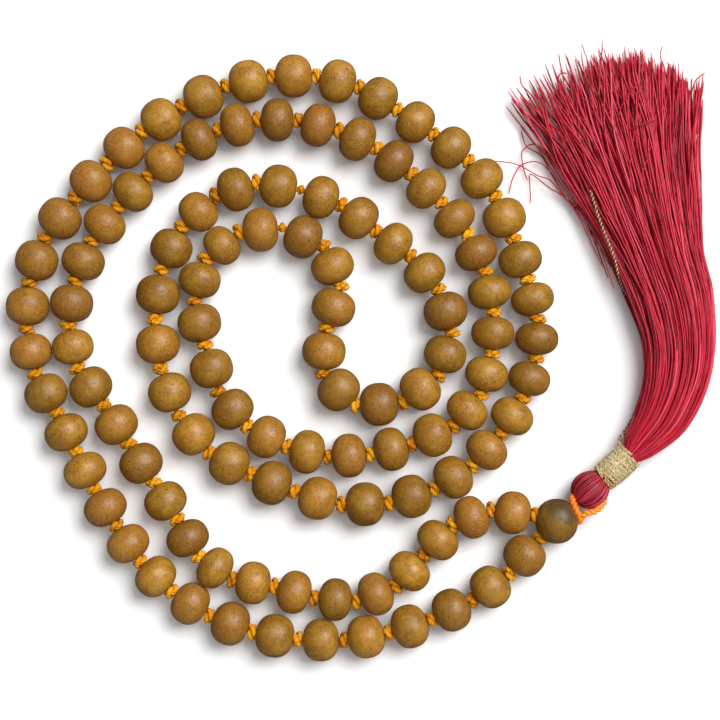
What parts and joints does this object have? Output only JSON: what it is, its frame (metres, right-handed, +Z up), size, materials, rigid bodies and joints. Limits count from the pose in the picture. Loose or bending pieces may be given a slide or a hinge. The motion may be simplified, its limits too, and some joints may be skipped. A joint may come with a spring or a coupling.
{
  "type": "mala prayer beads",
  "caption": "Strand of turned wooden prayer beads knotted on a string and laid in a double spiral, closed by a guru bead with a silk tassel.",
  "frame": {"origin": "under the middle of the whole mala, on the surface it lies on", "axes": "+Z up from the surface; +X along the longer side of the spiral and tassel together, towards the tassel; +Y the way the tassel's skirt points"},
  "size_m": [0.1274, 0.1102, 0.0079],
  "materials": {
    "bead_wood": "satin turned wood, tan with fine grain",
    "guru_wood": "satin turned wood, darker olive",
    "string_cotton": "twisted golden-orange cord, matte",
    "loop_cotton": "twisted bright orange cord, matte",
    "silk_head": "dark crimson silk thread, slight sheen",
    "silk_skirt": "crimson silk thread, slight sheen",
    "gold_wrap": "metallic gold thread, wound",
    "gold_thread": "metallic gold thread, twisted"
  },
  "bodies": {
    "mala": {"guru_bead": "guru_wood", "string_outer": "string_cotton", "joined_beads_017_025": "bead_wood", "joined_beads_026_034": "bead_wood", "joined_beads_035_043": "bead_wood", "joined_beads_044_051": "bead_wood", "joined_beads_065_074": "bead_wood", "joined_beads_075_083": "bead_wood", "joined_beads_084_092": "bead_wood"},
    "inner_loop": {"string_inner_loop": "string_cotton"},
    "tassel_loop": {"tassel_loop": "loop_cotton"},
    "tassel": {"tassel_head": "silk_head", "tassel_wrap": "gold_wrap"},
    "tassel_skirt": {"tassel_skirt": "silk_skirt", "gold_thread_tail": "gold_thread"},
    "bead_001": {"bead_001": "bead_wood"},
    "bead_002": {"bead_002": "bead_wood"},
    "bead_003": {"bead_003": "bead_wood"},
    "bead_004": {"bead_004": "bead_wood"},
    "bead_005": {"bead_005": "bead_wood"},
    "bead_006": {"bead_006": "bead_wood"},
    "bead_007": {"bead_007": "bead_wood"},
    "bead_008": {"bead_008": "bead_wood"},
    "bead_009": {"bead_009": "bead_wood"},
    "bead_010": {"bead_010": "bead_wood"},
    "bead_011": {"bead_011": "bead_wood"},
    "bead_012": {"bead_012": "bead_wood"},
    "bead_013": {"bead_013": "bead_wood"},
    "bead_014": {"bead_014": "bead_wood"},
    "bead_015": {"bead_015": "bead_wood"},
    "bead_016": {"bead_016": "bead_wood"},
    "bead_052": {"bead_052": "bead_wood"},
    "bead_053": {"bead_053": "bead_wood"},
    "bead_054": {"bead_054": "bead_wood"},
    "bead_055": {"bead_055": "bead_wood"},
    "bead_056": {"bead_056": "bead_wood"},
    "bead_057": {"bead_057": "bead_wood"},
    "bead_058": {"bead_058": "bead_wood"},
    "bead_059": {"bead_059": "bead_wood"},
    "bead_060": {"bead_060": "bead_wood"},
    "bead_061": {"bead_061": "bead_wood"},
    "bead_062": {"bead_062": "bead_wood"},
    "bead_063": {"bead_063": "bead_wood"},
    "bead_064": {"bead_064": "bead_wood"},
    "bead_093": {"bead_093": "bead_wood"},
    "bead_094": {"bead_094": "bead_wood"},
    "bead_095": {"bead_095": "bead_wood"},
    "bead_096": {"bead_096": "bead_wood"},
    "bead_097": {"bead_097": "bead_wood"},
    "bead_098": {"bead_098": "bead_wood"},
    "bead_099": {"bead_099": "bead_wood"},
    "bead_100": {"bead_100": "bead_wood"},
    "bead_101": {"bead_101": "bead_wood"},
    "bead_102": {"bead_102": "bead_wood"},
    "bead_103": {"bead_103": "bead_wood"},
    "bead_104": {"bead_104": "bead_wood"},
    "bead_105": {"bead_105": "bead_wood"},
    "bead_106": {"bead_106": "bead_wood"},
    "bead_107": {"bead_107": "bead_wood"},
    "bead_108": {"bead_108": "bead_wood"}
  },
  "joints": [
    {"name": "tassel_swing", "type": "hinge", "parent": "mala", "child": "tassel_loop", "pos_m": [0.04025, -0.03, 0.0036], "axis": [0, 0, 1], "range_deg": [-95, 2]},
    {"name": "tassel_lift", "type": "hinge", "parent": "tassel_loop", "child": "tassel", "pos_m": [0.0415, -0.0244, 0.0034], "axis": [0.9563, -0.2924, 0], "range_deg": [0, 90]},
    {"name": "skirt_bend", "type": "hinge", "parent": "tassel", "child": "tassel_skirt", "pos_m": [0.04893, -0.01794, 0.0034], "axis": [0, 0, 1], "range_deg": [-20, 2]},
    {"name": "inner_loop_lift", "type": "hinge", "parent": "mala", "child": "inner_loop", "pos_m": [-0.0124, 0.02644, 0.00356], "axis": [-0.439, -0.8985, 0], "range_deg": [0, 35]},
    {"name": "bead_001_spin", "type": "hinge", "parent": "mala", "child": "bead_001", "pos_m": [0.02972, -0.03626, 0.00356], "axis": [-0.663, -0.7486, 0], "continuous": true},
    {"name": "bead_108_spin", "type": "hinge", "parent": "mala", "child": "bead_108", "pos_m": [0.02758, -0.02849, 0.00356], "axis": [0.9916, -0.1293, 0], "continuous": true},
    {"name": "bead_002_spin", "type": "hinge", "parent": "mala", "child": "bead_002", "pos_m": [0.02355, -0.0419, 0.00356], "axis": [-0.8076, -0.5897, 0], "continuous": true},
    {"name": "bead_107_spin", "type": "hinge", "parent": "mala", "child": "bead_107", "pos_m": [0.02013, -0.02931, 0.00356], "axis": [0.9348, 0.3553, 0], "continuous": true},
    {"name": "bead_058_spin", "type": "hinge", "parent": "inner_loop", "child": "bead_058", "pos_m": [0.01091, -0.00615, 0.00356], "axis": [-0.7946, -0.6071, 0], "continuous": true},
    {"name": "bead_052_spin", "type": "hinge", "parent": "inner_loop", "child": "bead_052", "pos_m": [-0.00705, 0.0285, 0.00356], "axis": [0.9367, -0.35, 0], "continuous": true},
    {"name": "bead_064_spin", "type": "hinge", "parent": "inner_loop", "child": "bead_064", "pos_m": [-0.0103, 0.02136, 0.00356], "axis": [-0.9163, 0.4004, 0], "continuous": true},
    {"name": "bead_016_spin", "type": "hinge", "parent": "mala", "child": "bead_016", "pos_m": [-0.05947, 0.00061, 0.00356], "axis": [-0.1893, 0.9819, 0], "continuous": true},
    {"name": "bead_093_spin", "type": "hinge", "parent": "mala", "child": "bead_093", "pos_m": [-0.0521, 0.00935, 0.00356], "axis": [-0.1566, -0.9877, 0], "continuous": true},
    {"name": "bead_003_spin", "type": "hinge", "parent": "mala", "child": "bead_003", "pos_m": [0.01654, -0.04607, 0.00356], "axis": [-0.9044, -0.4267, 0], "continuous": true},
    {"name": "bead_004_spin", "type": "hinge", "parent": "mala", "child": "bead_004", "pos_m": [0.00899, -0.04901, 0.00356], "axis": [-0.9548, -0.2973, 0], "continuous": true},
    {"name": "bead_005_spin", "type": "hinge", "parent": "mala", "child": "bead_005", "pos_m": [0.00109, -0.05088, 0.00356], "axis": [-0.9866, -0.1629, 0], "continuous": true},
    {"name": "bead_006_spin", "type": "hinge", "parent": "mala", "child": "bead_006", "pos_m": [-0.00708, -0.0515, 0.00356], "axis": [-0.9999, 0.0127, 0], "continuous": true},
    {"name": "bead_007_spin", "type": "hinge", "parent": "mala", "child": "bead_007", "pos_m": [-0.01539, -0.05072, 0.00356], "axis": [-0.9853, 0.1711, 0], "continuous": true},
    {"name": "bead_008_spin", "type": "hinge", "parent": "mala", "child": "bead_008", "pos_m": [-0.0234, -0.04853, 0.00356], "axis": [-0.9341, 0.3571, 0], "continuous": true},
    {"name": "bead_009_spin", "type": "hinge", "parent": "mala", "child": "bead_009", "pos_m": [-0.03065, -0.0449, 0.00356], "axis": [-0.8449, 0.5349, 0], "continuous": true},
    {"name": "bead_010_spin", "type": "hinge", "parent": "mala", "child": "bead_010", "pos_m": [-0.03692, -0.04003, 0.00356], "axis": [-0.7259, 0.6878, 0], "continuous": true},
    {"name": "bead_011_spin", "type": "hinge", "parent": "mala", "child": "bead_011", "pos_m": [-0.0419, -0.03408, 0.00356], "axis": [-0.5468, 0.8372, 0], "continuous": true},
    {"name": "bead_012_spin", "type": "hinge", "parent": "mala", "child": "bead_012", "pos_m": [-0.046, -0.02754, 0.00356], "axis": [-0.5153, 0.857, 0], "continuous": true},
    {"name": "bead_013_spin", "type": "hinge", "parent": "mala", "child": "bead_013", "pos_m": [-0.04967, -0.02084, 0.00356], "axis": [-0.4456, 0.8952, 0], "continuous": true},
    {"name": "bead_014_spin", "type": "hinge", "parent": "mala", "child": "bead_014", "pos_m": [-0.0531, -0.01394, 0.00356], "axis": [-0.4442, 0.8959, 0], "continuous": true},
    {"name": "bead_015_spin", "type": "hinge", "parent": "mala", "child": "bead_015", "pos_m": [-0.05677, -0.00692, 0.00356], "axis": [-0.4804, 0.877, 0], "continuous": true},
    {"name": "bead_053_spin", "type": "hinge", "parent": "inner_loop", "child": "bead_053", "pos_m": [-0.00024, 0.02475, 0.00356], "axis": [0.7969, -0.6041, 0], "continuous": true},
    {"name": "bead_054_spin", "type": "hinge", "parent": "inner_loop", "child": "bead_054", "pos_m": [0.006, 0.02012, 0.00356], "axis": [0.8084, -0.5886, 0], "continuous": true},
    {"name": "bead_055_spin", "type": "hinge", "parent": "inner_loop", "child": "bead_055", "pos_m": [0.01167, 0.01486, 0.00356], "axis": [0.6505, -0.7595, 0], "continuous": true},
    {"name": "bead_056_spin", "type": "hinge", "parent": "inner_loop", "child": "bead_056", "pos_m": [0.01543, 0.00792, 0.00356], "axis": [0.2903, -0.9569, 0], "continuous": true},
    {"name": "bead_057_spin", "type": "hinge", "parent": "inner_loop", "child": "bead_057", "pos_m": [0.0154, 0.00016, 0.00356], "axis": [-0.3058, -0.9521, 0], "continuous": true},
    {"name": "bead_059_spin", "type": "hinge", "parent": "inner_loop", "child": "bead_059", "pos_m": [0.00343, -0.00891, 0.00356], "axis": [-0.998, -0.0632, 0], "continuous": true},
    {"name": "bead_060_spin", "type": "hinge", "parent": "inner_loop", "child": "bead_060", "pos_m": [-0.00384, -0.00628, 0.00356], "axis": [-0.7246, 0.6892, 0], "continuous": true},
    {"name": "bead_061_spin", "type": "hinge", "parent": "inner_loop", "child": "bead_061", "pos_m": [-0.00652, 0.0007, 0.00356], "axis": [0.0921, 0.9957, 0], "continuous": true},
    {"name": "bead_062_spin", "type": "hinge", "parent": "inner_loop", "child": "bead_062", "pos_m": [-0.00477, 0.00859, 0.00356], "axis": [0.3377, 0.9412, 0], "continuous": true},
    {"name": "bead_063_spin", "type": "hinge", "parent": "inner_loop", "child": "bead_063", "pos_m": [-0.00496, 0.01606, 0.00356], "axis": [-0.3915, 0.9202, 0], "continuous": true},
    {"name": "bead_094_spin", "type": "hinge", "parent": "mala", "child": "bead_094", "pos_m": [-0.0519, 0.00148, 0.00356], "axis": [0.211, -0.9775, 0], "continuous": true},
    {"name": "bead_095_spin", "type": "hinge", "parent": "mala", "child": "bead_095", "pos_m": [-0.04864, -0.00575, 0.00356], "axis": [0.5845, -0.8114, 0], "continuous": true},
    {"name": "bead_096_spin", "type": "hinge", "parent": "mala", "child": "bead_096", "pos_m": [-0.04403, -0.01258, 0.00356], "axis": [0.5346, -0.8451, 0], "continuous": true},
    {"name": "bead_097_spin", "type": "hinge", "parent": "mala", "child": "bead_097", "pos_m": [-0.03957, -0.01954, 0.00356], "axis": [0.545, -0.8385, 0], "continuous": true},
    {"name": "bead_098_spin", "type": "hinge", "parent": "mala", "child": "bead_098", "pos_m": [-0.03515, -0.02638, 0.00356], "axis": [0.54, -0.8417, 0], "continuous": true},
    {"name": "bead_099_spin", "type": "hinge", "parent": "mala", "child": "bead_099", "pos_m": [-0.03113, -0.03308, 0.00356], "axis": [0.4873, -0.8732, 0], "continuous": true},
    {"name": "bead_100_spin", "type": "hinge", "parent": "mala", "child": "bead_100", "pos_m": [-0.02621, -0.03847, 0.00356], "axis": [0.8324, -0.5542, 0], "continuous": true},
    {"name": "bead_101_spin", "type": "hinge", "parent": "mala", "child": "bead_101", "pos_m": [-0.01934, -0.04115, 0.00356], "axis": [0.9857, -0.1687, 0], "continuous": true},
    {"name": "bead_102_spin", "type": "hinge", "parent": "mala", "child": "bead_102", "pos_m": [-0.01191, -0.04284, 0.00356], "axis": [0.9611, -0.2762, 0], "continuous": true},
    {"name": "bead_103_spin", "type": "hinge", "parent": "mala", "child": "bead_103", "pos_m": [-0.00447, -0.04417, 0.00356], "axis": [0.9971, -0.076, 0], "continuous": true},
    {"name": "bead_104_spin", "type": "hinge", "parent": "mala", "child": "bead_104", "pos_m": [0.00287, -0.04316, 0.00356], "axis": [0.9373, 0.3486, 0], "continuous": true},
    {"name": "bead_105_spin", "type": "hinge", "parent": "mala", "child": "bead_105", "pos_m": [0.00894, -0.03905, 0.00356], "axis": [0.6748, 0.738, 0], "continuous": true},
    {"name": "bead_106_spin", "type": "hinge", "parent": "mala", "child": "bead_106", "pos_m": [0.01406, -0.03345, 0.00356], "axis": [0.6748, 0.738, 0], "continuous": true}
  ]
}
